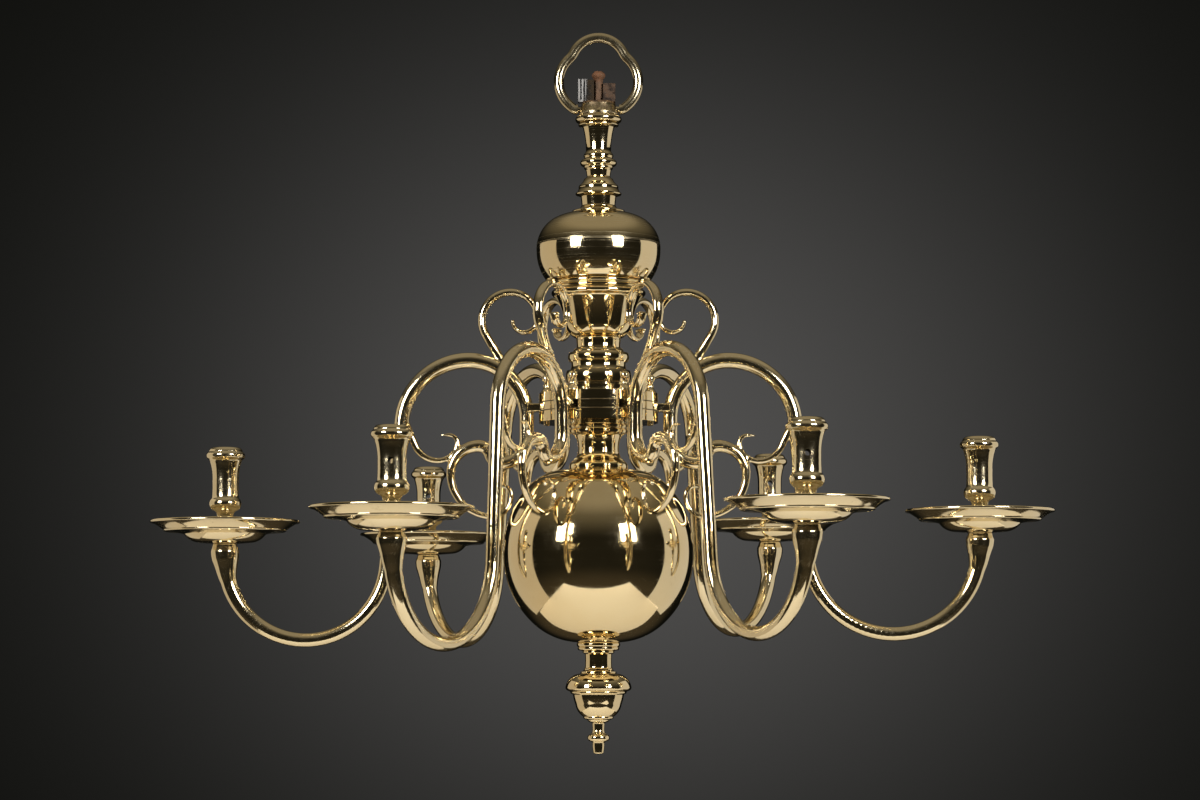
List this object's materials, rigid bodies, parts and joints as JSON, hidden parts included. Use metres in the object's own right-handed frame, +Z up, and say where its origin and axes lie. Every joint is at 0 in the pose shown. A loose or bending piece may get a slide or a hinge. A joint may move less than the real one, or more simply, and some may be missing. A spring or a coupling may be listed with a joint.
{
  "type": "candle chandelier",
  "caption": "Polished brass candle chandelier: a turned stem with globes, pinned S-scroll arms carrying drip pans and candle nozzles, hung from a pivoting ring.",
  "frame": {"origin": "the point where a hook bears on the inside top of the hanging ring", "axes": "+Z up along the stem, +X out along the first arm, +Y to the back of the picture"},
  "size_m": [0.9051, 0.8024, 0.7273],
  "materials": {
    "polished_brass": "high polish with fine rubbing marks",
    "rusted_iron": "forged and rusted",
    "bright_steel": "bright strip with cut edges"
  },
  "bodies": {
    "ring": {"hanging_ring": "polished_brass"},
    "stem": {"tie_rod": "rusted_iron", "packing_washer": "rusted_iron", "folded_strip": "bright_steel", "iron_plate": "rusted_iron", "iron_block": "rusted_iron", "top_baluster": "polished_brass", "upper_globe": "polished_brass", "banded_cup": "polished_brass", "stepped_shoulder": "polished_brass", "arm_receiver": "polished_brass", "lower_neck": "polished_brass", "great_globe": "polished_brass", "pendant": "polished_brass", "finial_nut": "polished_brass"},
    "arm_1_set": {"arm_1": "polished_brass", "drip_pan_1": "polished_brass", "candle_nozzle_1": "polished_brass"},
    "pin_1": {"lug_pin_1": "polished_brass"},
    "arm_2_set": {"arm_2": "polished_brass", "drip_pan_2": "polished_brass", "candle_nozzle_2": "polished_brass"},
    "pin_2": {"lug_pin_2": "polished_brass"},
    "arm_3_set": {"arm_3": "polished_brass", "drip_pan_3": "polished_brass", "candle_nozzle_3": "polished_brass"},
    "pin_3": {"lug_pin_3": "polished_brass"},
    "arm_4_set": {"arm_4": "polished_brass", "drip_pan_4": "polished_brass", "candle_nozzle_4": "polished_brass"},
    "pin_4": {"lug_pin_4": "polished_brass"},
    "arm_5_set": {"arm_5": "polished_brass", "drip_pan_5": "polished_brass", "candle_nozzle_5": "polished_brass"},
    "pin_5": {"lug_pin_5": "polished_brass"},
    "arm_6_set": {"arm_6": "polished_brass", "drip_pan_6": "polished_brass", "candle_nozzle_6": "polished_brass"},
    "pin_6": {"lug_pin_6": "polished_brass"}
  },
  "joints": [
    {"name": "stem_swing", "type": "hinge", "parent": "ring", "child": "stem", "pos_m": [0, 0, -0.0684], "axis": [1, 0, 0], "range_deg": [-75, 75]},
    {"name": "arm_1_swing", "type": "hinge", "parent": "stem", "child": "arm_1_set", "pos_m": [0.052, 0, -0.3713], "axis": [0, 0, 1], "range_deg": [-18, 18]},
    {"name": "pin_1_lift", "type": "slide", "parent": "stem", "child": "pin_1", "axis": [0, 0, 1], "range_m": [0, 0.03]},
    {"name": "arm_2_swing", "type": "hinge", "parent": "stem", "child": "arm_2_set", "pos_m": [0.026, 0.04503, -0.3713], "axis": [0, 0, 1], "range_deg": [-18, 18]},
    {"name": "pin_2_lift", "type": "slide", "parent": "stem", "child": "pin_2", "axis": [0, 0, 1], "range_m": [0, 0.03]},
    {"name": "arm_3_swing", "type": "hinge", "parent": "stem", "child": "arm_3_set", "pos_m": [-0.026, 0.04503, -0.3713], "axis": [0, 0, 1], "range_deg": [-18, 18]},
    {"name": "pin_3_lift", "type": "slide", "parent": "stem", "child": "pin_3", "axis": [0, 0, 1], "range_m": [0, 0.03]},
    {"name": "arm_4_swing", "type": "hinge", "parent": "stem", "child": "arm_4_set", "pos_m": [-0.052, 0, -0.3713], "axis": [0, 0, 1], "range_deg": [-18, 18]},
    {"name": "pin_4_lift", "type": "slide", "parent": "stem", "child": "pin_4", "axis": [0, 0, 1], "range_m": [0, 0.03]},
    {"name": "arm_5_swing", "type": "hinge", "parent": "stem", "child": "arm_5_set", "pos_m": [-0.026, -0.04503, -0.3713], "axis": [0, 0, 1], "range_deg": [-18, 18]},
    {"name": "pin_5_lift", "type": "slide", "parent": "stem", "child": "pin_5", "axis": [0, 0, 1], "range_m": [0, 0.03]},
    {"name": "arm_6_swing", "type": "hinge", "parent": "stem", "child": "arm_6_set", "pos_m": [0.026, -0.04503, -0.3713], "axis": [0, 0, 1], "range_deg": [-18, 18]},
    {"name": "pin_6_lift", "type": "slide", "parent": "stem", "child": "pin_6", "axis": [0, 0, 1], "range_m": [0, 0.03]}
  ]
}
